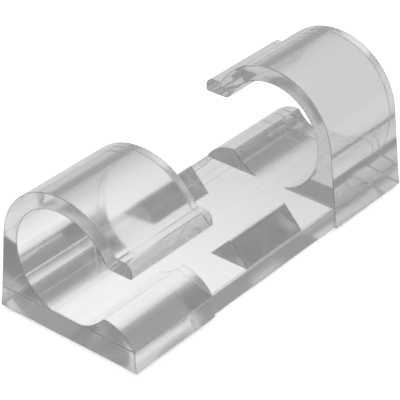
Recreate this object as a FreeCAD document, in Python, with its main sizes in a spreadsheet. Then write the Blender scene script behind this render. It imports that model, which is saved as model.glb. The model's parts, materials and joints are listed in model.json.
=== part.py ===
import FreeCAD, Part
import Sketcher
import math
import os

# Clear adhesive cable clip: a plate, two end blocks with opposed hooks, two ribs and a pad under them.
# Frame: millimetres, +Z up, Y along the cable, origin at the centre of the adhesive pad's underside.
# The clip maps onto itself when it is turned by half a turn about Z, so one block and one rib are
# drawn and the other two are their patterned copies.

doc = FreeCAD.newDocument("cable_clip")
V = FreeCAD.Vector

# Driving sizes, in millimetres and degrees
SIZES = (
    ("clip_width", 10.0, "foot of the end blocks, across the cable"),
    ("clip_length", 24.4, "along the cable"),
    ("block_length", 6.55, "each end block and its hook, along the cable"),
    ("pad_thickness", 0.25, "adhesive pad, from the mounting surface to the plastic"),
    ("pad_inset", 0.6, "pad edge inside the plastic's edge, all round"),
    ("pad_corner", 0.8, "rounding of the pad's corners, seen from above"),
    ("plate_thickness", 1.3, "plate, and the height of the blocks' foot line"),
    ("side_taper", 0.16, "how far the blocks' sides lean in up to the foot line"),
    ("end_taper", 0.05, "how far the blocks' outer ends lean in up to the foot line"),
    ("channel_radius", 3.44, "cable channel inside the hook, which the foot cuts flat at the bottom"),
    ("hook_wall", 0.98, "hook wall around the channel"),
    ("hook_offset", 0.03, "channel axis from the middle of the clip, towards the hook's root"),
    ("hook_centre_height", 4.58, "channel axis above the plastic's underside"),
    ("lip_rise", 1.34, "lip's lower face above the channel axis"),
    ("lip_thickness", 0.87, "between the lip's lower and upper faces"),
    ("lip_overhang", 0.47, "lip's outer end beyond the hook's outside"),
    ("lip_nose_round", 0.5, "rounding where the channel turns into the lip's lower face"),
    ("lip_notch_round", 0.28, "hollow rounding where the hook turns into the lip's upper face"),
    ("lip_top_round", 0.5, "rounding of the lip's upper outer edge"),
    ("lip_low_round", 0.12, "rounding of the lip's lower outer edge"),
    ("ridge_radius", 2.35, "ridge's outer curve, from the foot line to the crest"),
    ("ridge_crest_drop", 2.3, "axis of the crest's rounding below the channel axis"),
    ("ridge_crest_round", 0.22, "rounding of the ridge's crest"),
    ("rib_length", 5.0, "each rib, along the cable"),
    ("rib_shift", 0.1, "rib's middle from the middle of the clip, away from the hook on its side"),
    ("rib_width", 2.66, "rib's foot"),
    ("rib_height", 1.42, "rib above the plate"),
    ("rib_setback", 0.1, "rib's foot inside the plate's side"),
    ("rib_crest_round", 0.1, "rounding of the rib's crest"),
)

sheet = doc.addObject("Spreadsheet::Sheet", "Sizes")
value = {}
for row, (alias, number, meaning) in enumerate(SIZES, start=1):
    sheet.set("A%d" % row, alias)
    sheet.set("B%d" % row, str(number))
    sheet.set("C%d" % row, meaning)
    sheet.setAlias("B%d" % row, alias)
    value[alias] = number
doc.recompute()


def plane_of(body, role):
    """Return the body's own origin plane with this role."""
    for item in body.Origin.OriginFeatures:
        if item.Role == role:
            return item
    raise RuntimeError("no plane " + role)


def axis_of(body, role):
    """Return the body's own origin axis with this role."""
    return plane_of(body, role)


def new_sketch(body, name, role, offset_expression=None):
    """Add a sketch on one of the body's origin planes, moved along its normal by an expression."""
    sketch = body.newObject("Sketcher::SketchObject", name)
    sketch.AttachmentSupport = [(plane_of(body, role), "")]
    sketch.MapMode = "FlatFace"
    if offset_expression:
        sketch.setExpression("AttachmentOffset.Base.z", offset_expression)
    return sketch


def name_constraint(sketch, constraint, name, expression):
    """Add a driving constraint and bind it to the spreadsheet."""
    index = sketch.addConstraint(constraint)
    sketch.renameConstraint(index, name)
    sketch.setExpression("Constraints." + name, expression)
    return index


def add_line(sketch, start, end):
    """Add a straight line and return its number."""
    line = Part.LineSegment(V(start[0], start[1], 0), V(end[0], end[1], 0))
    return sketch.addGeometry(line, False)


def add_arc(sketch, centre, radius, first, last):
    """Add an arc that runs counter-clockwise from angle first to angle last, in radians."""
    circle = Part.Circle(V(centre[0], centre[1], 0), V(0, 0, 1), radius)
    return sketch.addGeometry(Part.ArcOfCircle(circle, first, last), False)


def angle_at(centre, point):
    """Angle of the line from centre to point."""
    return math.atan2(point[1] - centre[1], point[0] - centre[0])


def add_swept_arc(sketch, centre, radius, first, last):
    """Add an arc that runs counter-clockwise from the direction of one point to that of another."""
    return add_arc(sketch, centre, radius, angle_at(centre, first), angle_at(centre, last))


def towards(start, end, distance):
    """Point at this distance from start on the way to end."""
    length = math.hypot(end[0] - start[0], end[1] - start[1])
    part = distance / length
    return (start[0] + (end[0] - start[0]) * part, start[1] + (end[1] - start[1]) * part)


def lower_crossing(first, first_radius, second, second_radius):
    """Crossing of two circles, the lower of the two."""
    gap = math.hypot(second[0] - first[0], second[1] - first[1])
    along = (gap ** 2 + first_radius ** 2 - second_radius ** 2) / (2 * gap)
    rise = math.sqrt(first_radius ** 2 - along ** 2)
    foot = towards(first, second, along)
    side = ((second[1] - first[1]) / gap * rise, -(second[0] - first[0]) / gap * rise)
    options = ((foot[0] + side[0], foot[1] + side[1]), (foot[0] - side[0], foot[1] - side[1]))
    return min(options, key=lambda p: p[1])


def check(shape_owner):
    """Stop when an object is missing its shape or carries an error."""
    if "Invalid" in shape_owner.State or "Error" in shape_owner.State:
        raise RuntimeError(shape_owner.Name + " is " + str(shape_owner.State))


# Clip body
clip = doc.addObject("PartDesign::Body", "clip_body")
clip.Label = "clip_body"

# Plate between the two end blocks
plate_sketch = new_sketch(clip, "plate_outline", "XY_Plane", "Sizes.pad_thickness")
half_wide = value["clip_width"] / 2 - value["side_taper"]
half_long = value["clip_length"] / 2 - value["block_length"]
corners = (
    (-half_wide, -half_long), (half_wide, -half_long),
    (half_wide, half_long), (-half_wide, half_long),
)
for number in range(4):
    add_line(plate_sketch, corners[number], corners[(number + 1) % 4])
for number in range(4):
    plate_sketch.addConstraint(Sketcher.Constraint("Coincident", number, 2, (number + 1) % 4, 1))
plate_sketch.addConstraint(Sketcher.Constraint("Horizontal", 0))
plate_sketch.addConstraint(Sketcher.Constraint("Horizontal", 2))
plate_sketch.addConstraint(Sketcher.Constraint("Vertical", 1))
plate_sketch.addConstraint(Sketcher.Constraint("Vertical", 3))
plate_sketch.addConstraint(Sketcher.Constraint("Symmetric", 0, 1, 1, 2, -1, 1))
width_rule = Sketcher.Constraint("DistanceX", 0, 1, 0, 2, 2 * half_wide)
name_constraint(plate_sketch, width_rule, "wide", "Sizes.clip_width - 2 * Sizes.side_taper")
length_rule = Sketcher.Constraint("DistanceY", 1, 1, 1, 2, 2 * half_long)
name_constraint(plate_sketch, length_rule, "long", "Sizes.clip_length - 2 * Sizes.block_length")
doc.recompute()
plate = clip.newObject("PartDesign::Pad", "plate")
plate.Profile = plate_sketch
plate.setExpression("Length", "Sizes.plate_thickness")
doc.recompute()
check(plate)

# Foot of an end block: its three outer sides lean in up to the foot line,
# and its top cuts the channel's bottom flat
foot_sketches = []
for name, role_height, side_lean, end_lean in (
    ("foot_low", "Sizes.pad_thickness", "0", "0"),
    ("foot_high", "Sizes.pad_thickness + Sizes.plate_thickness", "Sizes.side_taper", "Sizes.end_taper"),
):
    foot_sketch = new_sketch(clip, name, "XY_Plane", role_height)
    leans = (0.0, 0.0) if name == "foot_low" else (value["side_taper"], value["end_taper"])
    foot_wide = value["clip_width"] - 2 * leans[0]
    foot_end = -value["clip_length"] / 2 + leans[1]
    corners = (
        (-foot_wide / 2, foot_end), (foot_wide / 2, foot_end),
        (foot_wide / 2, -half_long), (-foot_wide / 2, -half_long),
    )
    for number in range(4):
        add_line(foot_sketch, corners[number], corners[(number + 1) % 4])
    for number in range(4):
        foot_sketch.addConstraint(Sketcher.Constraint("Coincident", number, 2, (number + 1) % 4, 1))
    foot_sketch.addConstraint(Sketcher.Constraint("Horizontal", 0))
    foot_sketch.addConstraint(Sketcher.Constraint("Horizontal", 2))
    foot_sketch.addConstraint(Sketcher.Constraint("Vertical", 1))
    foot_sketch.addConstraint(Sketcher.Constraint("Vertical", 3))
    left_rule = Sketcher.Constraint("DistanceX", 0, 1, -1, 1, foot_wide / 2)
    name_constraint(foot_sketch, left_rule, "left", "Sizes.clip_width / 2 - " + side_lean)
    wide_rule = Sketcher.Constraint("DistanceX", 0, 1, 0, 2, foot_wide)
    name_constraint(foot_sketch, wide_rule, "wide", "Sizes.clip_width - 2 * " + side_lean)
    outer_rule = Sketcher.Constraint("DistanceY", 0, 1, -1, 1, -foot_end)
    name_constraint(foot_sketch, outer_rule, "outer_end", "Sizes.clip_length / 2 - " + end_lean)
    inner_rule = Sketcher.Constraint("DistanceY", 2, 1, -1, 1, half_long)
    name_constraint(foot_sketch, inner_rule, "inner_end", "Sizes.clip_length / 2 - Sizes.block_length")
    foot_sketches.append(foot_sketch)
doc.recompute()
for foot_sketch in foot_sketches:
    if foot_sketch.solve() != 0:
        raise RuntimeError("the foot doesn't solve")
foot = clip.newObject("PartDesign::AdditiveLoft", "block_foot")
foot.Profile = foot_sketches[0]
foot.Sections = [foot_sketches[1]]
foot.Ruled = True
doc.recompute()
check(foot)

# Profile of an end block and its hook, seen along the cable
# It runs from the left foot corner along the underside, up the tapered side, over the ridge,
# round the channel to the lip, round the lip and back over the hook's outside to the left side.
half = value["clip_width"] / 2
low = value["pad_thickness"]
foot_right = (half, low)
foot_left = (-half, low)
shoulder = (half - value["side_taper"], low + value["plate_thickness"])
ring = (-value["hook_offset"], low + value["hook_centre_height"])
inner = value["channel_radius"]
outer = inner + value["hook_wall"]
hump_radius = value["ridge_radius"]
crest_radius = value["ridge_crest_round"]
nose_radius = value["lip_nose_round"]
notch_radius = value["lip_notch_round"]
top_radius = value["lip_top_round"]
low_radius = value["lip_low_round"]
under = ring[1] + value["lip_rise"]
over = under + value["lip_thickness"]
reach = ring[0] + outer + value["lip_overhang"]

# Crest round: touches the channel's circle from outside
crest_drop = value["ridge_crest_drop"]
crest = (ring[0] + math.sqrt((inner + crest_radius) ** 2 - crest_drop ** 2), ring[1] - crest_drop)

# Ridge's outer curve: passes through the shoulder and holds the crest round inside it
hump = lower_crossing(shoulder, hump_radius, crest, hump_radius - crest_radius)
crest_start = towards(hump, crest, hump_radius)
crest_end = towards(ring, crest, inner)

# Nose round: touches the channel's circle from outside and the lip's lower face from above
nose_height = under + nose_radius
nose_across = ring[0] + math.sqrt((inner + nose_radius) ** 2 - (nose_height - ring[1]) ** 2)
nose = (nose_across, nose_height)
nose_start = towards(ring, nose, inner)
nose_end = (nose_across, under)

# Lip's outer end
low_centre = (reach - low_radius, under + low_radius)
top_centre = (reach - top_radius, over - top_radius)

# Notch round: touches the lip's upper face from above and the hook's outside from outside
notch_height = over + notch_radius
notch_across = ring[0] + math.sqrt((outer + notch_radius) ** 2 - (notch_height - ring[1]) ** 2)
notch = (notch_across, notch_height)
notch_start = (notch_across, over)
notch_end = towards(ring, notch, outer)

# The left side touches the hook's outside
span = math.hypot(ring[0] - foot_left[0], ring[1] - foot_left[1])
lean = angle_at(foot_left, ring) + math.asin(outer / span)
reach_up = math.sqrt(span ** 2 - outer ** 2)
wall_top = (foot_left[0] + reach_up * math.cos(lean), foot_left[1] + reach_up * math.sin(lean))

hook_sketch = new_sketch(clip, "hook_profile", "XZ_Plane", "Sizes.clip_length / 2 - Sizes.block_length")
underside = add_line(hook_sketch, foot_left, foot_right)
right_side = add_line(hook_sketch, foot_right, shoulder)
hump_arc = add_swept_arc(hook_sketch, hump, hump_radius, shoulder, crest_start)
crest_arc = add_swept_arc(hook_sketch, crest, crest_radius, crest_start, crest_end)
channel_arc = add_swept_arc(hook_sketch, ring, inner, nose_start, crest_end)
nose_arc = add_swept_arc(hook_sketch, nose, nose_radius, nose_start, nose_end)
lip_under = add_line(hook_sketch, nose_end, (low_centre[0], under))
low_arc = add_arc(hook_sketch, low_centre, low_radius, -math.pi / 2, 0.0)
lip_end = add_line(hook_sketch, (reach, low_centre[1]), (reach, top_centre[1]))
top_arc = add_arc(hook_sketch, top_centre, top_radius, 0.0, math.pi / 2)
lip_over = add_line(hook_sketch, (top_centre[0], over), notch_start)
notch_arc = add_swept_arc(hook_sketch, notch, notch_radius, notch_end, notch_start)
hook_arc = add_swept_arc(hook_sketch, ring, outer, notch_end, wall_top)
left_side = add_line(hook_sketch, wall_top, foot_left)

# Joints of the profile: corners first, then the smooth ones
for first, first_end, second, second_end in (
    (underside, 2, right_side, 1),
    (right_side, 2, hump_arc, 1),
    (left_side, 2, underside, 1),
):
    hook_sketch.addConstraint(Sketcher.Constraint("Coincident", first, first_end, second, second_end))
for first, first_end, second, second_end in (
    (hump_arc, 2, crest_arc, 1),
    (crest_arc, 2, channel_arc, 2),
    (channel_arc, 1, nose_arc, 1),
    (nose_arc, 2, lip_under, 1),
    (lip_under, 2, low_arc, 1),
    (low_arc, 2, lip_end, 1),
    (lip_end, 2, top_arc, 1),
    (top_arc, 2, lip_over, 1),
    (lip_over, 2, notch_arc, 2),
    (notch_arc, 1, hook_arc, 1),
    (hook_arc, 2, left_side, 1),
):
    hook_sketch.addConstraint(Sketcher.Constraint("Tangent", first, first_end, second, second_end))
hook_sketch.addConstraint(Sketcher.Constraint("Horizontal", underside))
hook_sketch.addConstraint(Sketcher.Constraint("Horizontal", lip_under))
hook_sketch.addConstraint(Sketcher.Constraint("Vertical", lip_end))
hook_sketch.addConstraint(Sketcher.Constraint("Horizontal", lip_over))
hook_sketch.addConstraint(Sketcher.Constraint("Coincident", hook_arc, 3, channel_arc, 3))


def place(sketch, geometry, point, at, across_name, across_rule, height_name, height_rule):
    """Fix a point's distances from the sketch's origin, each bound to the spreadsheet."""
    across = Sketcher.Constraint("DistanceX", -1, 1, geometry, point, at[0])
    name_constraint(sketch, across, across_name, across_rule)
    height = Sketcher.Constraint("DistanceY", -1, 1, geometry, point, at[1])
    name_constraint(sketch, height, height_name, height_rule)


place(
    hook_sketch, underside, 1, foot_left,
    "left_foot", "-Sizes.clip_width / 2",
    "low", "Sizes.pad_thickness",
)
right_rule = Sketcher.Constraint("DistanceX", -1, 1, underside, 2, foot_right[0])
name_constraint(hook_sketch, right_rule, "right_foot", "Sizes.clip_width / 2")
place(
    hook_sketch, right_side, 2, shoulder,
    "shoulder_across", "Sizes.clip_width / 2 - Sizes.side_taper",
    "shoulder_height", "Sizes.pad_thickness + Sizes.plate_thickness",
)
ring_height = "Sizes.pad_thickness + Sizes.hook_centre_height"
place(
    hook_sketch, channel_arc, 3, ring,
    "ring_across", "-Sizes.hook_offset",
    "ring_height", ring_height,
)
for arc, radius, name, rule in (
    (hump_arc, hump_radius, "ridge", "Sizes.ridge_radius"),
    (crest_arc, crest_radius, "crest_round", "Sizes.ridge_crest_round"),
    (channel_arc, inner, "channel", "Sizes.channel_radius"),
    (nose_arc, nose_radius, "nose_round", "Sizes.lip_nose_round"),
    (low_arc, low_radius, "low_round", "Sizes.lip_low_round"),
    (top_arc, top_radius, "top_round", "Sizes.lip_top_round"),
    (notch_arc, notch_radius, "notch_round", "Sizes.lip_notch_round"),
    (hook_arc, outer, "hook_outside", "Sizes.channel_radius + Sizes.hook_wall"),
):
    name_constraint(hook_sketch, Sketcher.Constraint("Radius", arc, radius), name, rule)
crest_rule = Sketcher.Constraint("DistanceY", -1, 1, crest_arc, 3, crest[1])
name_constraint(hook_sketch, crest_rule, "crest_height", ring_height + " - Sizes.ridge_crest_drop")
lip_height = ring_height + " + Sizes.lip_rise"
under_rule = Sketcher.Constraint("DistanceY", -1, 1, lip_under, 1, under)
name_constraint(hook_sketch, under_rule, "lip_low", lip_height)
over_rule = Sketcher.Constraint("DistanceY", -1, 1, lip_over, 2, over)
name_constraint(hook_sketch, over_rule, "lip_high", lip_height + " + Sizes.lip_thickness")
reach_rule = Sketcher.Constraint("DistanceX", -1, 1, lip_end, 1, reach)
lip_out = "Sizes.channel_radius + Sizes.hook_wall + Sizes.lip_overhang - Sizes.hook_offset"
name_constraint(hook_sketch, reach_rule, "lip_out", lip_out)
doc.recompute()
if hook_sketch.solve() != 0:
    raise RuntimeError("the hook profile doesn't solve")

block = clip.newObject("PartDesign::Pad", "hook_block")
block.Profile = hook_sketch
block.setExpression("Length", "Sizes.block_length - Sizes.end_taper")
doc.recompute()
check(block)

# Rib profile: an isosceles triangle with a rounded crest, standing on the plate
rib_low = low + value["plate_thickness"]
rib_half = value["rib_width"] / 2
rib_x = half_wide - value["rib_setback"] - rib_half
slope = math.atan2(value["rib_height"], rib_half)
crest_low = rib_low + value["rib_height"] - value["rib_crest_round"] / math.cos(slope)
rib_crest = (rib_x, crest_low)
rib_turn = math.pi / 2 - slope
rib_side = value["rib_crest_round"] * math.cos(rib_turn)
rib_right = (rib_x + rib_side, crest_low + value["rib_crest_round"] * math.sin(rib_turn))
rib_left = (2 * rib_x - rib_right[0], rib_right[1])
rib_sketch = new_sketch(clip, "rib_profile", "XZ_Plane", "-Sizes.rib_length / 2 - Sizes.rib_shift")
rib_base = add_line(rib_sketch, (rib_x - rib_half, rib_low), (rib_x + rib_half, rib_low))
rib_rise = add_line(rib_sketch, (rib_x + rib_half, rib_low), rib_right)
rib_round = add_arc(rib_sketch, rib_crest, value["rib_crest_round"], rib_turn, math.pi - rib_turn)
rib_fall = add_line(rib_sketch, rib_left, (rib_x - rib_half, rib_low))
rib_sketch.addConstraint(Sketcher.Constraint("Coincident", rib_base, 2, rib_rise, 1))
rib_sketch.addConstraint(Sketcher.Constraint("Coincident", rib_fall, 2, rib_base, 1))
rib_sketch.addConstraint(Sketcher.Constraint("Tangent", rib_rise, 2, rib_round, 1))
rib_sketch.addConstraint(Sketcher.Constraint("Tangent", rib_round, 2, rib_fall, 1))
rib_sketch.addConstraint(Sketcher.Constraint("Horizontal", rib_base))
rib_sketch.addConstraint(Sketcher.Constraint("Equal", rib_rise, rib_fall))
place(
    rib_sketch, rib_base, 1, (rib_x - rib_half, rib_low),
    "rib_foot_across", "Sizes.clip_width / 2 - Sizes.side_taper - Sizes.rib_setback - Sizes.rib_width",
    "rib_foot_height", "Sizes.pad_thickness + Sizes.plate_thickness",
)
rib_wide = Sketcher.Constraint("DistanceX", rib_base, 1, rib_base, 2, value["rib_width"])
name_constraint(rib_sketch, rib_wide, "rib_wide", "Sizes.rib_width")
rib_crest_rule = Sketcher.Constraint("Radius", rib_round, value["rib_crest_round"])
name_constraint(rib_sketch, rib_crest_rule, "rib_crest", "Sizes.rib_crest_round")
rib_high = Sketcher.Constraint("DistanceY", rib_base, 1, rib_round, 3, crest_low - rib_low)
steepness = "sqrt(1 + (2 * Sizes.rib_height / Sizes.rib_width) ^ 2)"
crest_height = "Sizes.rib_height - Sizes.rib_crest_round * " + steepness
name_constraint(rib_sketch, rib_high, "rib_high", crest_height)
doc.recompute()
if rib_sketch.solve() != 0:
    raise RuntimeError("the rib profile doesn't solve")

rib = clip.newObject("PartDesign::Pad", "rib")
rib.Profile = rib_sketch
rib.setExpression("Length", "Sizes.rib_length")
doc.recompute()
check(rib)

# Half a turn about Z makes the far foot, block and hook and the second rib
pair = clip.newObject("PartDesign::PolarPattern", "half_turn_pair")
pair.Originals = [foot, block, rib]
pair.Axis = (axis_of(clip, "Z_Axis"), [""])
pair.Angle = 360
pair.Occurrences = 2
clip.Tip = pair
doc.recompute()
check(pair)

# Adhesive pad: a thin sheet with rounded corners
pad_body = doc.addObject("PartDesign::Body", "adhesive_pad")
pad_body.Label = "adhesive_pad"
pad_sketch = new_sketch(pad_body, "pad_outline", "XY_Plane")
pad_wide = value["clip_width"] - 2 * value["pad_inset"]
pad_long = value["clip_length"] - 2 * value["pad_inset"]
corners = (
    (-pad_wide / 2, -pad_long / 2), (pad_wide / 2, -pad_long / 2),
    (pad_wide / 2, pad_long / 2), (-pad_wide / 2, pad_long / 2),
)
for number in range(4):
    add_line(pad_sketch, corners[number], corners[(number + 1) % 4])
for number in range(4):
    pad_sketch.addConstraint(Sketcher.Constraint("Coincident", number, 2, (number + 1) % 4, 1))
pad_sketch.addConstraint(Sketcher.Constraint("Horizontal", 0))
pad_sketch.addConstraint(Sketcher.Constraint("Horizontal", 2))
pad_sketch.addConstraint(Sketcher.Constraint("Vertical", 1))
pad_sketch.addConstraint(Sketcher.Constraint("Vertical", 3))
pad_sketch.addConstraint(Sketcher.Constraint("Symmetric", 0, 1, 1, 2, -1, 1))
wide_rule = Sketcher.Constraint("DistanceX", 0, 1, 0, 2, pad_wide)
name_constraint(pad_sketch, wide_rule, "pad_wide", "Sizes.clip_width - 2 * Sizes.pad_inset")
long_rule = Sketcher.Constraint("DistanceY", 1, 1, 1, 2, pad_long)
name_constraint(pad_sketch, long_rule, "pad_long", "Sizes.clip_length - 2 * Sizes.pad_inset")
doc.recompute()
sheet_pad = pad_body.newObject("PartDesign::Pad", "pad_sheet")
sheet_pad.Profile = pad_sketch
sheet_pad.setExpression("Length", "Sizes.pad_thickness")
doc.recompute()
check(sheet_pad)
upright = []
for number, edge in enumerate(sheet_pad.Shape.Edges, start=1):
    first, second = edge.Vertexes[0].Point, edge.Vertexes[-1].Point
    if abs(first.x - second.x) < 1e-6 and abs(first.y - second.y) < 1e-6:
        upright.append("Edge%d" % number)
pad_round = pad_body.newObject("PartDesign::Fillet", "pad_corners")
pad_round.Base = (sheet_pad, upright)
pad_round.setExpression("Radius", "Sizes.pad_corner")
pad_body.Tip = pad_round
doc.recompute()
check(pad_round)

# Hand over
os.makedirs("parts", exist_ok=True)
for body in (clip, pad_body):
    check(body)
    if body.Shape.isNull() or not body.Shape.isValid():
        raise RuntimeError(body.Label + " has a bad shape")
    box = body.Shape.BoundBox
    print(body.Label, "volume", round(body.Shape.Volume, 3), "solids", len(body.Shape.Solids))
    print(" x", round(box.XMin, 3), round(box.XMax, 3), "y", round(box.YMin, 3), round(box.YMax, 3))
    print(" z", round(box.ZMin, 3), round(box.ZMax, 3))
    body.Shape.exportStep("parts/%s.step" % body.Label)
for item in doc.Objects:
    check(item)
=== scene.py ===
import json
import logging
import math
from dataclasses import dataclass, field
from enum import Enum
from typing import Iterable, Optional, Sequence

import bmesh
import bpy
from mathutils import Matrix, Vector

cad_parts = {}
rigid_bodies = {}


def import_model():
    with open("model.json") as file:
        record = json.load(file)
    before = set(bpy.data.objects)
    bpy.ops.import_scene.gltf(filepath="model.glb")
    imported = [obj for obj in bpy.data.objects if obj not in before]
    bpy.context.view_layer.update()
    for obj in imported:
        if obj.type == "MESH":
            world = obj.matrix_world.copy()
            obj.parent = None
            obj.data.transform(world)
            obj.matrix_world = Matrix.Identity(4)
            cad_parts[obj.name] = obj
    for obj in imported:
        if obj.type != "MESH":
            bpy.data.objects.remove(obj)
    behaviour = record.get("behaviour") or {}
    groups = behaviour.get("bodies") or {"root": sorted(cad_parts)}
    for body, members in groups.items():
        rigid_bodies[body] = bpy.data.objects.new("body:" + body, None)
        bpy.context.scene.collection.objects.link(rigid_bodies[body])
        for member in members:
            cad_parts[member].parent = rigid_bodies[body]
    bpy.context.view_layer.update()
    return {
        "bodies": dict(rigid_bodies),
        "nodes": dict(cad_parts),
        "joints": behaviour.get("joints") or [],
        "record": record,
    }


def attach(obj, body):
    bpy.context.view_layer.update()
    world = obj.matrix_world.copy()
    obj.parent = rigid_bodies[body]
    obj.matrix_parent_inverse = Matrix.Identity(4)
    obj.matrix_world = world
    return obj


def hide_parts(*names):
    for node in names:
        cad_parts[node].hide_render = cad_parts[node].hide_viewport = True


log = logging.getLogger("cable_clip")

MM = 0.001
BOUNCES = 32
Socket = bpy.types.NodeSocket
Tree = bpy.types.NodeTree
Colour = tuple[float, float, float]


class Node(Enum):
    """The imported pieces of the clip."""

    CLIP = "clip_body"
    PAD = "adhesive_pad"


class Slot(Enum):
    """The record's material slots."""

    PLASTIC = "clear_plastic"
    ADHESIVE = "clear_adhesive"


class Seen(Enum):
    """Kinds of ray, by the name of their Light Path output."""

    CAMERA = "Is Camera Ray"
    GLOSSY = "Is Glossy Ray"
    TRANSMISSION = "Is Transmission Ray"


class Maths(Enum):
    """Operations of a Math node used here."""

    ADD = "ADD"
    TAKE = "SUBTRACT"
    SCALE = "MULTIPLY"
    LARGER = "MAXIMUM"
    SIZE = "ABSOLUTE"
    SIGN = "SIGN"
    BELOW = "LESS_THAN"
    ABOVE = "GREATER_THAN"
    RISE = "ARCSINE"


class Vectors(Enum):
    """Operations of a Vector Math node used here, each with the output that it fills."""

    SCALE = ("SCALE", "Vector")
    UNIT = ("NORMALIZE", "Vector")
    LENGTH = ("LENGTH", "Value")
    AWAY = ("DISTANCE", "Value")
    DOT = ("DOT_PRODUCT", "Value")


class Space(Enum):
    """Spaces that a direction is given in."""

    OBJECT = "OBJECT"
    WORLD = "WORLD"


# Node helpers


def feed(tree: Tree, target: Socket, source: Socket | float | Sequence[float]) -> None:
    """Link a socket to a node's input, or set the input to a plain value.

    Args:
        tree: The node tree that the input is in.
        target: The input to feed.
        source: A socket, a number, or the numbers of a vector or colour.
    """
    if isinstance(source, Socket):
        tree.links.new(source, target)
    else:
        target.default_value = source


def calculate(
    tree: Tree,
    operation: Maths,
    first: Socket | float,
    second: Socket | float | None = None,
) -> Socket:
    """Add a Math node.

    Args:
        tree: The node tree to add to.
        operation: What the node works out.
        first: A socket or a plain number.
        second: A socket or a plain number, for an operation of two values.

    Returns:
        The node's result.
    """
    node = tree.nodes.new("ShaderNodeMath")
    node.operation = operation.value
    for place, source in enumerate((first, second)):
        if source is not None:
            feed(tree, node.inputs[place], source)
    return node.outputs[0]


def work_vector(
    tree: Tree,
    operation: Vectors,
    first: Socket,
    second: Socket | float | Sequence[float] | None = None,
) -> Socket:
    """Add a Vector Math node.

    Args:
        tree: The node tree to add to.
        operation: What the node works out.
        first: The vector to work on.
        second: The other vector, or the factor to scale by.

    Returns:
        The node's result, a vector or a number.
    """
    kind, result = operation.value
    node = tree.nodes.new("ShaderNodeVectorMath")
    node.operation = kind
    tree.links.new(first, node.inputs[0])
    if second is not None:
        place = "Scale" if operation is Vectors.SCALE else 1
        feed(tree, node.inputs[place], second)
    return node.outputs[result]


def turn_normal(tree: Tree, normal: Socket, source: Space, target: Space) -> Socket:
    """Add a node that gives a normal in another space.

    Args:
        tree: The node tree to add to.
        normal: The normal.
        source: The space that it is given in.
        target: The space to give it in.

    Returns:
        The normal in the other space.
    """
    node = tree.nodes.new("ShaderNodeVectorTransform")
    node.vector_type = "NORMAL"
    node.convert_from = source.value
    node.convert_to = target.value
    tree.links.new(normal, node.inputs[0])
    return node.outputs[0]


def spread(
    tree: Tree,
    source: Socket,
    low: Socket | float,
    high: Socket | float,
    start: Socket | float = 0.0,
    stop: Socket | float = 1.0,
    smooth: bool = False,
) -> Socket:
    """Add a Map Range node that spreads a value from start..stop over low..high.

    Args:
        tree: The node tree to add to.
        source: The value to spread.
        low: What the start becomes.
        high: What the stop becomes.
        start: Where the value's range starts.
        stop: Where it stops.
        smooth: Whether the value eases in and out.

    Returns:
        The spread value.
    """
    node = tree.nodes.new("ShaderNodeMapRange")
    if smooth:
        node.interpolation_type = "SMOOTHSTEP"
    tree.links.new(source, node.inputs["Value"])
    bounds = {"From Min": start, "From Max": stop, "To Min": low, "To Max": high}
    for name, bound in bounds.items():
        feed(tree, node.inputs[name], bound)
    return node.outputs["Result"]


def noise(tree: Tree, place: Socket, per_metre: Socket, detail: float) -> Socket:
    """Add a noise texture.

    Args:
        tree: The node tree to add to.
        place: Where on the piece the noise is read.
        per_metre: How many swells it has in a metre.
        detail: How many finer layers it has.

    Returns:
        The noise's strength.
    """
    node = tree.nodes.new("ShaderNodeTexNoise")
    node.inputs["Detail"].default_value = detail
    tree.links.new(place, node.inputs["Vector"])
    tree.links.new(per_metre, node.inputs["Scale"])
    return node.outputs["Fac"]


def mix_colours(
    tree: Tree, factor: Socket, first: Socket | Colour, second: Socket | Colour
) -> Socket:
    """Add a node that mixes two colours.

    Args:
        tree: The node tree to add to.
        factor: The second colour's share.
        first: A socket or a plain colour.
        second: A socket or a plain colour.

    Returns:
        The mixed colour.
    """
    node = tree.nodes.new("ShaderNodeMix")
    node.data_type = "RGBA"
    tree.links.new(factor, node.inputs["Factor"])
    for name, colour in (("A", first), ("B", second)):
        source = colour if isinstance(colour, Socket) else (*colour, 1.0)
        feed(tree, node.inputs[name], source)
    return node.outputs["Result"]


def mix_shaders(tree: Tree, factor: Socket, first: Socket, second: Socket) -> Socket:
    """Add a node that mixes two shaders.

    Args:
        tree: The node tree to add to.
        factor: The second shader's share.
        first: The shader at 0.
        second: The shader at 1.

    Returns:
        The mixed shader.
    """
    node = tree.nodes.new("ShaderNodeMixShader")
    for place, source in enumerate((factor, first, second)):
        tree.links.new(source, node.inputs[place])
    return node.outputs[0]


def bump(
    tree: Tree, height: Socket, distance: float, normal: Optional[Socket] = None
) -> Socket:
    """Add a Bump node.

    Args:
        tree: The node tree to add to.
        height: The relief, from 0 to 1.
        distance: The relief's full height.
        normal: The surface's normal, where it isn't the shape's own.

    Returns:
        The normal with the relief.
    """
    node = tree.nodes.new("ShaderNodeBump")
    node.inputs["Distance"].default_value = distance
    tree.links.new(height, node.inputs["Height"])
    if normal is not None:
        tree.links.new(normal, node.inputs["Normal"])
    return node.outputs["Normal"]


def any_ray(tree: Tree, kinds: Iterable[Seen]) -> Socket:
    """Add a mask that is 1 for the given kinds of ray.

    Args:
        tree: The node tree to add to.
        kinds: The kinds of ray to let through.

    Returns:
        The mask's socket.
    """
    light_path = tree.nodes.new("ShaderNodeLightPath")
    mask: Optional[Socket] = None
    for kind in kinds:
        ray = light_path.outputs[kind.value]
        mask = ray if mask is None else calculate(tree, Maths.LARGER, mask, ray)
    if mask is None:
        raise ValueError("a mask needs at least one kind of ray")
    return mask


def separate(tree: Tree, vector: Socket) -> bpy.types.Node:
    """Add a node that splits a vector, and return the node with its X, Y and Z."""
    parts = tree.nodes.new("ShaderNodeSeparateXYZ")
    tree.links.new(vector, parts.inputs[0])
    return parts


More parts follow.
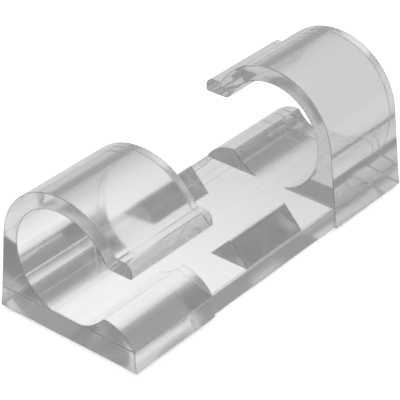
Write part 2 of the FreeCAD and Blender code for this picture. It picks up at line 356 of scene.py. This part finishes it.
def position_mm(tree: Tree) -> bpy.types.Node:
    """Add the place on the piece, split into X, Y and Z in millimetres.

    Args:
        tree: The node tree to add to.

    Returns:
        The node with the three numbers.
    """
    place = tree.nodes.new("ShaderNodeTexCoord")
    in_mm = work_vector(tree, Vectors.SCALE, place.outputs["Object"], 1.0 / MM)
    return separate(tree, in_mm)


def new_material(name: str) -> tuple[bpy.types.Material, Tree, bpy.types.Node]:
    """Make an empty node material with an output node.

    Args:
        name: The material's name.

    Returns:
        The material, its node tree and its output node.
    """
    material = bpy.data.materials.new(name)
    material.use_nodes = True
    tree = material.node_tree
    tree.nodes.clear()
    return material, tree, tree.nodes.new("ShaderNodeOutputMaterial")


# Effects shared by the clear materials


@dataclass(frozen=True)
class Effect:
    """A shader node group that is built once and placed in each material that uses it."""

    name: str

    def open(
        self,
        inputs: dict[str, float],
        outputs: Sequence[str],
        directions: Sequence[str] = (),
    ) -> tuple[Tree, bpy.types.Node, bpy.types.Node]:
        """Start the group with its named sockets.

        Args:
            inputs: Names and usual values of the number inputs.
            outputs: Names of the number outputs.
            directions: Names of the vector outputs.

        Returns:
            The group, its input node and its output node.
        """
        group = bpy.data.node_groups.new(self.name, "ShaderNodeTree")
        sockets = group.interface
        for name, usual in inputs.items():
            socket = sockets.new_socket(name, in_out="INPUT", socket_type="NodeSocketFloat")
            socket.default_value = usual
        for name in outputs:
            sockets.new_socket(name, in_out="OUTPUT", socket_type="NodeSocketFloat")
        for name in directions:
            sockets.new_socket(name, in_out="OUTPUT", socket_type="NodeSocketVector")
        return group, group.nodes.new("NodeGroupInput"), group.nodes.new("NodeGroupOutput")

    def fill(self) -> Tree:
        """Build the group's nodes."""
        raise NotImplementedError

    def place(self, tree: Tree, settings: Optional[dict[str, float]] = None) -> bpy.types.Node:
        """Put the group into a material.

        Args:
            tree: The material's node tree.
            settings: Values for the group's inputs, where they aren't the usual ones.

        Returns:
            The group node.
        """
        group = bpy.data.node_groups.get(self.name) or self.fill()
        node = tree.nodes.new("ShaderNodeGroup")
        node.node_tree = group
        for name, number in (settings or {}).items():
            node.inputs[name].default_value = number
        return node


@dataclass(frozen=True)
class FlowRipple(Effect):
    """Slow ripples left where the melt ran along the mould, drawn out along the cable."""

    name: str = "flow_ripple"
    stretch: tuple[float, float, float] = (1.0, 0.22, 1.0)
    slow_detail: float = 1.0
    fine_detail: float = 2.0
    fine_per_slow: float = 6.0

    def fill(self) -> Tree:
        """Build the group: Ripples per mm and Fine share in, Height and Shade out."""
        settings = {"Ripples per mm": 0.35, "Fine share": 0.15}
        group, entry, leave = self.open(settings, ("Height", "Shade"))
        place = group.nodes.new("ShaderNodeTexCoord")
        stretch = group.nodes.new("ShaderNodeMapping")
        stretch.inputs["Scale"].default_value = self.stretch
        group.links.new(place.outputs["Object"], stretch.inputs["Vector"])
        slow_rate = calculate(group, Maths.SCALE, entry.outputs["Ripples per mm"], 1.0 / MM)
        fine_rate = calculate(group, Maths.SCALE, slow_rate, self.fine_per_slow)
        slow = noise(group, stretch.outputs["Vector"], slow_rate, self.slow_detail)
        fine = noise(group, place.outputs["Object"], fine_rate, self.fine_detail)
        detail = calculate(group, Maths.SCALE, fine, entry.outputs["Fine share"])
        height = calculate(group, Maths.ADD, slow, detail)
        group.links.new(height, leave.inputs["Height"])
        group.links.new(slow, leave.inputs["Shade"])
        return group


@dataclass(frozen=True)
class HandlingMarks(Effect):
    """Sparse pinprick marks and faint smears from handling."""

    name: str = "handling_marks"
    smear_detail: float = 3.0
    smears_per_mark: float = 0.2

    def fill(self) -> Tree:
        """Build the group: Marks per mm and Coverage in, Mask and Smear out."""
        settings = {"Marks per mm": 2.0, "Coverage": 0.12}
        group, entry, leave = self.open(settings, ("Mask", "Smear"))
        place = group.nodes.new("ShaderNodeTexCoord")
        mark_rate = calculate(group, Maths.SCALE, entry.outputs["Marks per mm"], 1.0 / MM)
        smear_rate = calculate(group, Maths.SCALE, mark_rate, self.smears_per_mark)
        cells = group.nodes.new("ShaderNodeTexVoronoi")
        group.links.new(place.outputs["Object"], cells.inputs["Vector"])
        group.links.new(mark_rate, cells.inputs["Scale"])
        coverage = entry.outputs["Coverage"]
        mark = spread(group, cells.outputs["Distance"], 1.0, 0.0, stop=coverage)
        smear = noise(group, place.outputs["Object"], smear_rate, self.smear_detail)
        group.links.new(mark, leave.inputs["Mask"])
        group.links.new(smear, leave.inputs["Smear"])
        return group


@dataclass(frozen=True)
class ChannelFinish(Effect):
    """The cable channels' finer texture, and their flat bottom eased into the round sides."""

    name: str = "channel_finish"

    def fill(self) -> Tree:
        """Build the group: the channels' place in mm in, Under, Channel and Normal out."""
        settings = {
            "Axis height": 4.83,
            "Radius": 3.47,
            "Floor": 1.54,
            "Channels from": 5.6,
            "Underside": 0.27,
        }
        group, entry, leave = self.open(settings, ("Under", "Channel"), ("Normal",))
        parts = position_mm(group)
        across, along, height = (parts.outputs[axis] for axis in "XYZ")
        above_axis = calculate(group, Maths.TAKE, height, entry.outputs["Axis height"])
        combined = group.nodes.new("ShaderNodeCombineXYZ")
        group.links.new(across, combined.inputs["X"])
        group.links.new(above_axis, combined.inputs["Z"])
        from_axis = combined.outputs[0]
        distance = work_vector(group, Vectors.LENGTH, from_axis)
        inside = calculate(group, Maths.BELOW, distance, entry.outputs["Radius"])
        over = calculate(group, Maths.ABOVE, height, entry.outputs["Floor"])
        from_middle = calculate(group, Maths.SIZE, along)
        at_ends = calculate(group, Maths.ABOVE, from_middle, entry.outputs["Channels from"])
        hollow = calculate(group, Maths.SCALE, inside, over)
        channels = calculate(group, Maths.SCALE, hollow, at_ends)
        underside = calculate(group, Maths.BELOW, height, entry.outputs["Underside"])
        inwards = work_vector(group, Vectors.SCALE, from_axis, -1.0)
        turned = turn_normal(group, inwards, Space.OBJECT, Space.WORLD)
        unit = work_vector(group, Vectors.UNIT, turned)
        shape = group.nodes.new("ShaderNodeNewGeometry")
        same = work_vector(group, Vectors.DOT, unit, shape.outputs["Normal"])
        side = calculate(group, Maths.SIGN, same)
        group.links.new(underside, leave.inputs["Under"])
        group.links.new(channels, leave.inputs["Channel"])
        group.links.new(work_vector(group, Vectors.SCALE, unit, side), leave.inputs["Normal"])
        return group


@dataclass(frozen=True)
class PartingLine(Effect):
    """Fine raised line that the mould's halves leave round the outside, at the foot line."""

    name: str = "parting_line"

    def fill(self) -> Tree:
        """Build the group: the line's place and width in mm in, Height out."""
        settings = {
            "Line height": 1.55,
            "Line width": 0.07,
            "Outside from": 4.6,
            "Ends from": 12.0,
        }
        group, entry, leave = self.open(settings, ("Height",))
        parts = position_mm(group)
        above = calculate(group, Maths.TAKE, parts.outputs["Z"], entry.outputs["Line height"])
        away = calculate(group, Maths.SIZE, above)
        ridge = spread(group, away, 1.0, 0.0, stop=entry.outputs["Line width"], smooth=True)
        across = calculate(group, Maths.SIZE, parts.outputs["X"])
        along = calculate(group, Maths.SIZE, parts.outputs["Y"])
        sides = calculate(group, Maths.ABOVE, across, entry.outputs["Outside from"])
        ends = calculate(group, Maths.ABOVE, along, entry.outputs["Ends from"])
        outside = calculate(group, Maths.LARGER, sides, ends)
        group.links.new(calculate(group, Maths.SCALE, ridge, outside), leave.inputs["Height"])
        return group


@dataclass(frozen=True)
class EndFaces(Effect):
    """Mask of the faces that look along the cable, which the mould leaves satin."""

    name: str = "end_faces"

    def fill(self) -> Tree:
        """Build the group: Steepness in, Mask out."""
        group, entry, leave = self.open({"Steepness": 0.9}, ("Mask",))
        shape = group.nodes.new("ShaderNodeNewGeometry")
        turned = turn_normal(group, shape.outputs["Normal"], Space.WORLD, Space.OBJECT)
        along = calculate(group, Maths.SIZE, separate(group, turned).outputs["Y"])
        mask = calculate(group, Maths.ABOVE, along, entry.outputs["Steepness"])
        group.links.new(mask, leave.inputs["Mask"])
        return group


@dataclass(frozen=True)
class WornEdgeAndShade(Effect):
    """Mask of the moulding's softened edges, which are left less polished and are also given
    painted dark lines of shade.
    """

    name: str = "worn_edge_and_shade"
    samples: int = 4
    radius: float = 0.13 * MM

    def fill(self) -> Tree:
        """Build the group: Gain in, Mask and Normal out."""
        group, entry, leave = self.open({"Gain": 6.0}, ("Mask",), ("Normal",))
        soft = group.nodes.new("ShaderNodeBevel")
        soft.samples = self.samples
        soft.inputs["Radius"].default_value = self.radius
        shape = group.nodes.new("ShaderNodeNewGeometry")
        same = work_vector(group, Vectors.DOT, soft.outputs["Normal"], shape.outputs["Normal"])
        turned = calculate(group, Maths.TAKE, 1.0, same)
        gained = calculate(group, Maths.SCALE, turned, entry.outputs["Gain"])
        limit = group.nodes.new("ShaderNodeClamp")
        group.links.new(gained, limit.inputs["Value"])
        group.links.new(limit.outputs["Result"], leave.inputs["Mask"])
        group.links.new(soft.outputs["Normal"], leave.inputs["Normal"])
        return group


RIPPLE = FlowRipple()
LINE = PartingLine()
EDGE = WornEdgeAndShade()
MARKS = HandlingMarks()
ENDS = EndFaces()
CHANNEL = ChannelFinish()


# Finishes


@dataclass(frozen=True)
class ClearPlastic:
    """Polished clear moulding, faintly grey in depth."""

    name: str = Slot.PLASTIC.value
    clean: Colour = (0.99, 0.992, 0.992)
    dull: Colour = (0.975, 0.978, 0.98)
    # Painted shade: the colour that darkens the softened edges into dark lines.
    painted_edge_shade: Colour = (0.6, 0.6, 0.6)
    refraction: float = 1.49
    clearness: float = 0.99
    smooth: float = 0.03
    worn: float = 0.12
    channel: float = 0.12
    end_faces: float = 0.11
    underside: float = 0.13
    edge_roughness: float = 0.5
    edge_gain: float = 20.0
    line_height: float = 0.02 * MM
    depth_colour: Colour = (0.2, 0.2, 0.2)
    depth_density: float = 30.0
    ripple_height: float = 0.004 * MM

    def roughness(
        self,
        tree: Tree,
        marks: bpy.types.Node,
        channel: bpy.types.Node,
        unpolished: Socket,
    ) -> Socket:
        """Add the roughness: polished sides, satin channels, ends and underside.

        Args:
            tree: The material's node tree.
            marks: The handling marks.
            channel: The channels' finish.
            unpolished: Mask of the edges and the parting line.

        Returns:
            The roughness.
        """
        wear = calculate(tree, Maths.SCALE, marks.outputs["Mask"], marks.outputs["Smear"])
        level = spread(tree, wear, self.smooth, self.worn)
        satin = (
            (ENDS.place(tree).outputs["Mask"], self.end_faces),
            (channel.outputs["Channel"], self.channel),
            (channel.outputs["Under"], self.underside),
            (unpolished, self.edge_roughness),
        )
        for mask, rougher in satin:
            level = spread(tree, mask, level, rougher)
        return level

    def normal(
        self,
        tree: Tree,
        channel: bpy.types.Node,
        edge: bpy.types.Node,
        relief: Socket,
    ) -> Socket:
        """Add the normal: round channels, soft edges and the moulding's fine relief.

        Args:
            tree: The material's node tree.
            channel: The channels' finish.
            edge: The softened edges.
            relief: The relief, as a share of the parting line's height.

        Returns:
            The normal.
        """
        not_edge = calculate(tree, Maths.TAKE, 1.0, edge.outputs["Mask"])
        within = calculate(tree, Maths.SCALE, channel.outputs["Channel"], not_edge)
        eased = tree.nodes.new("ShaderNodeMix")
        eased.data_type = "VECTOR"
        tree.links.new(within, eased.inputs["Factor"])
        tree.links.new(edge.outputs["Normal"], eased.inputs["A"])
        tree.links.new(channel.outputs["Normal"], eased.inputs["B"])
        return bump(tree, relief, self.line_height, eased.outputs["Result"])

    def make(self) -> bpy.types.Material:
        """Build the material."""
        material, tree, output = new_material(self.name)
        shader = tree.nodes.new("ShaderNodeBsdfPrincipled")
        shader.inputs["IOR"].default_value = self.refraction
        shader.inputs["Transmission Weight"].default_value = self.clearness
        ripple = RIPPLE.place(tree, {"Ripples per mm": 0.35, "Fine share": 0.06})
        marks = MARKS.place(tree, {"Marks per mm": 1.6, "Coverage": 0.05})
        edge = EDGE.place(tree, {"Gain": self.edge_gain})
        channel = CHANNEL.place(tree)
        line = LINE.place(tree).outputs["Height"]
        tint = mix_colours(tree, ripple.outputs["Shade"], self.clean, self.dull)
        # Painted shade: the edges are painted darker, drawing dark lines along them.
        painted_edge_lines = mix_colours(tree, edge.outputs["Mask"], tint, self.painted_edge_shade)
        unpolished = calculate(tree, Maths.LARGER, edge.outputs["Mask"], line)
        share = self.ripple_height / self.line_height
        rippled = calculate(tree, Maths.SCALE, ripple.outputs["Height"], share)
        relief = calculate(tree, Maths.ADD, rippled, line)
        look = {
            "Base Color": painted_edge_lines,
            "Roughness": self.roughness(tree, marks, channel, unpolished),
            "Normal": self.normal(tree, channel, edge, relief),
        }
        for name, source in look.items():
            tree.links.new(source, shader.inputs[name])
        depth = tree.nodes.new("ShaderNodeVolumeAbsorption")
        depth.inputs["Color"].default_value = (*self.depth_colour, 1.0)
        depth.inputs["Density"].default_value = self.depth_density
        tree.links.new(shader.outputs["BSDF"], output.inputs["Surface"])
        tree.links.new(depth.outputs["Volume"], output.inputs["Volume"])
        return material


@dataclass(frozen=True)
class ClearAdhesive:
    """Soft clear adhesive, wetted to the plastic, with a few trapped bubbles."""

    name: str = Slot.ADHESIVE.value
    clean: Colour = (0.95, 0.955, 0.95)
    milky: Colour = (0.88, 0.89, 0.885)
    refraction: float = 1.47
    smooth: float = 0.18
    tacky: float = 0.4
    faint: float = 0.005
    bubble: float = 0.1
    ripple_height: float = 0.01 * MM

    def make(self) -> bpy.types.Material:
        """Build the material."""
        material, tree, output = new_material(self.name)
        shader = tree.nodes.new("ShaderNodeBsdfPrincipled")
        shader.inputs["IOR"].default_value = self.refraction
        ripple = RIPPLE.place(tree, {"Ripples per mm": 0.6, "Fine share": 0.3})
        marks = MARKS.place(tree, {"Marks per mm": 1.1, "Coverage": 0.16})
        look = {
            "Base Color": mix_colours(tree, ripple.outputs["Shade"], self.clean, self.milky),
            "Roughness": spread(tree, marks.outputs["Smear"], self.smooth, self.tacky),
            "Alpha": spread(tree, marks.outputs["Mask"], self.faint, self.bubble),
            "Normal": bump(tree, ripple.outputs["Height"], self.ripple_height),
        }
        for name, source in look.items():
            tree.links.new(source, shader.inputs[name])
        tree.links.new(shader.outputs["BSDF"], output.inputs["Surface"])
        return material


@dataclass(frozen=True)
class WhiteFloor:
    """Matt white table that shows as a white background and still takes the clip's shadow.

    Seen in or through the clip it glows with a painted pool of light, brightest under the near
    block, that dims slowly away.
    """

    name: str = "white_floor"
    colour: Colour = (0.8, 0.8, 0.8)
    lift: float = 0.56
    # Painted pool of light, seen only in or through the clip: its centre, radii and strengths.
    painted_pool_centre: tuple[float, float, float] = (0.5 * MM, -9.0 * MM, 0.0)
    painted_pool_near: float = 3.0 * MM
    painted_pool_far: float = 22.0 * MM
    bright: float = 1.04
    dim: float = 0.68

    def make(self) -> bpy.types.Material:
        """Build the material."""
        material, tree, output = new_material(self.name)
        matt = tree.nodes.new("ShaderNodeBsdfDiffuse")
        matt.inputs["Color"].default_value = (*self.colour, 1.0)
        lift = tree.nodes.new("ShaderNodeEmission")
        lift.inputs["Strength"].default_value = self.lift
        lifted = tree.nodes.new("ShaderNodeAddShader")
        tree.links.new(matt.outputs[0], lifted.inputs[0])
        tree.links.new(lift.outputs[0], lifted.inputs[1])
        # Painted light: emission for rays in or through the clip, brightest at the painted
        # pool's centre.
        glow = tree.nodes.new("ShaderNodeEmission")
        place = tree.nodes.new("ShaderNodeTexCoord")
        away = work_vector(tree, Vectors.AWAY, place.outputs["Object"], self.painted_pool_centre)
        pool = spread(tree, away, self.bright, self.dim, self.painted_pool_near, self.painted_pool_far)
        tree.links.new(pool, glow.inputs["Strength"])
        in_clip = any_ray(tree, (Seen.GLOSSY, Seen.TRANSMISSION))
        through = mix_shaders(tree, in_clip, matt.outputs[0], glow.outputs[0])
        by_camera = any_ray(tree, (Seen.CAMERA,))
        seen = mix_shaders(tree, by_camera, through, lifted.outputs[0])
        tree.links.new(seen, output.inputs["Surface"])
        return material


# The clip


@dataclass
class Moulding:
    """The moulded clip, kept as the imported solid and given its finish."""

    frame: dict
    finish: ClearPlastic = field(default_factory=ClearPlastic)

    def dress(self) -> bpy.types.Object:
        """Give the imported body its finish.

        Returns:
            The body's object.
        """
        piece = self.frame["nodes"][Node.CLIP.value]
        material = self.finish.make()
        for slot in piece.material_slots:
            slot.material = material
        log.info("%s dressed in %s", piece.name, material.name)
        return piece


@dataclass
class AdhesiveSheet:
    """The clear sheet that sticks the clip down, just under the moulding."""

    width: float = 8.8 * MM
    length: float = 23.2 * MM
    corner: float = 0.8 * MM
    top: float = 0.24 * MM
    edge: float = 0.03 * MM
    corner_steps: int = 10
    finish: ClearAdhesive = field(default_factory=ClearAdhesive)

    def outline(self, inset: float) -> list[tuple[float, float]]:
        """Return the sheet's rounded outline, drawn in by an inset.

        Args:
            inset: How far inside the full outline.

        Returns:
            Points counter-clockwise, in metres.
        """
        across = self.width / 2 - self.corner
        along = self.length / 2 - self.corner
        radius = self.corner - inset
        points: list[tuple[float, float]] = []
        middles = ((across, along), (-across, along), (-across, -along), (across, -along))
        for turn, (x, y) in enumerate(middles):
            for step in range(self.corner_steps + 1):
                angle = (turn + step / self.corner_steps) * math.pi / 2
                points.append((x + radius * math.cos(angle), y + radius * math.sin(angle)))
        return points

    def build(self) -> bpy.types.Object:
        """Build the sheet with softened upper and lower rims.

        Returns:
            The sheet's object.
        """
        shape = bmesh.new()
        rings = []
        section = (
            (self.edge, 0.0),
            (0.0, self.edge),
            (0.0, self.top - self.edge),
            (self.edge, self.top),
        )
        for inset, height in section:
            rings.append([shape.verts.new((x, y, height)) for x, y in self.outline(inset)])
        count = len(rings[0])
        for lower, upper in zip(rings, rings[1:]):
            for first in range(count):
                second = (first + 1) % count
                shape.faces.new((lower[first], lower[second], upper[second], upper[first]))
        shape.faces.new(list(reversed(rings[0])))
        shape.faces.new(rings[-1])
        mesh = bpy.data.meshes.new("adhesive_sheet")
        shape.to_mesh(mesh)
        shape.free()
        sheet = bpy.data.objects.new("adhesive_sheet", mesh)
        bpy.context.scene.collection.objects.link(sheet)
        mesh.materials.append(self.finish.make())
        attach(sheet, "root")
        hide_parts(Node.PAD.value)
        log.info("%s built with %d faces", sheet.name, len(mesh.polygons))
        return sheet


# Surroundings


@dataclass
class Floor:
    """Plain pale floor under the clip."""

    half_side: float = 400 * MM
    finish: WhiteFloor = field(default_factory=WhiteFloor)

    def build(self) -> bpy.types.Object:
        """Build the floor.

        Returns:
            The floor's object.
        """
        mesh = bpy.data.meshes.new("floor")
        side = self.half_side
        square = [(-side, -side, 0.0), (side, -side, 0.0), (side, side, 0.0), (-side, side, 0.0)]
        mesh.from_pydata(square, [], [(0, 1, 2, 3)])
        floor = bpy.data.objects.new("floor", mesh)
        bpy.context.scene.collection.objects.link(floor)
        mesh.materials.append(self.finish.make())
        log.info("floor laid")
        return floor


@dataclass(frozen=True)
class Studio:
    """White surroundings: a soft light overhead, its dimmer border and the walls."""

    wall: float = 0.44
    border: float = 0.96
    overhead: float = 2.38
    backdrop: float = 1.0
    border_from_deg: float = 46.0
    light_from_deg: float = 62.0
    soft_deg: float = 4.0

    def build(self) -> None:
        """Build the world, whose brightness steps up softly with elevation."""
        world = bpy.data.worlds.new("studio")
        world.use_nodes = True
        tree = world.node_tree
        tree.nodes.clear()
        output = tree.nodes.new("ShaderNodeOutputWorld")
        background = tree.nodes.new("ShaderNodeBackground")
        direction = tree.nodes.new("ShaderNodeTexCoord")
        parts = separate(tree, direction.outputs["Generated"])
        rise = calculate(tree, Maths.RISE, parts.outputs["Z"])
        level: Socket | float = self.wall
        steps = ((self.border_from_deg, self.border), (self.light_from_deg, self.overhead))
        for middle_deg, above in steps:
            start = math.radians(middle_deg - self.soft_deg)
            stop = math.radians(middle_deg + self.soft_deg)
            level = spread(tree, rise, level, above, start, stop, smooth=True)
        seen = spread(tree, any_ray(tree, (Seen.CAMERA,)), level, self.backdrop)
        tree.links.new(seen, background.inputs["Strength"])
        tree.links.new(background.outputs[0], output.inputs["Surface"])
        bpy.context.scene.world = world
        log.info("studio lit")


@dataclass(frozen=True)
class Viewpoint:
    """Camera placed as in the photograph, in the part's own frame."""

    place_mm: tuple[float, float, float] = (56.541, -68.403, 59.757)
    target_mm: tuple[float, float, float] = (-3.265, 3.024, 0.25)
    roll_deg: float = -0.594
    lens_mm: float = 164.39
    sensor_mm: float = 36.0
    clip_start: float = 1.0 * MM
    clip_end: float = 10.0

    def build(self) -> bpy.types.Object:
        """Build the camera and make it the scene's own.

        Returns:
            The camera's object.
        """
        data = bpy.data.cameras.new("camera")
        data.lens = self.lens_mm
        data.sensor_width = self.sensor_mm
        data.clip_start = self.clip_start
        data.clip_end = self.clip_end
        camera = bpy.data.objects.new("camera", data)
        bpy.context.scene.collection.objects.link(camera)
        place = Vector(self.place_mm) * MM
        forward = (Vector(self.target_mm) * MM - place).normalized()
        right = forward.cross(Vector((0.0, 0.0, 1.0))).normalized()
        up = right.cross(forward)
        turn = math.radians(self.roll_deg)
        tilted_right = math.cos(turn) * right + math.sin(turn) * up
        tilted_up = -math.sin(turn) * right + math.cos(turn) * up
        rows = Matrix((tilted_right, tilted_up, -forward)).transposed().to_4x4()
        camera.matrix_world = Matrix.Translation(place) @ rows
        bpy.context.scene.camera = camera
        log.info("camera placed")
        return camera


def main() -> None:
    """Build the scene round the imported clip."""
    logging.basicConfig(level=logging.INFO, format="%(name)s: %(message)s")
    scene = bpy.context.scene
    scene.view_settings.view_transform = "Standard"
    scene.cycles.max_bounces = BOUNCES
    scene.cycles.transmission_bounces = BOUNCES
    scene.cycles.glossy_bounces = BOUNCES
    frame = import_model()
    Moulding(frame).dress()
    AdhesiveSheet().build()
    Floor().build()
    Studio().build()
    Viewpoint().build()
    log.info("scene complete")


if __name__ == "__main__":
    main()
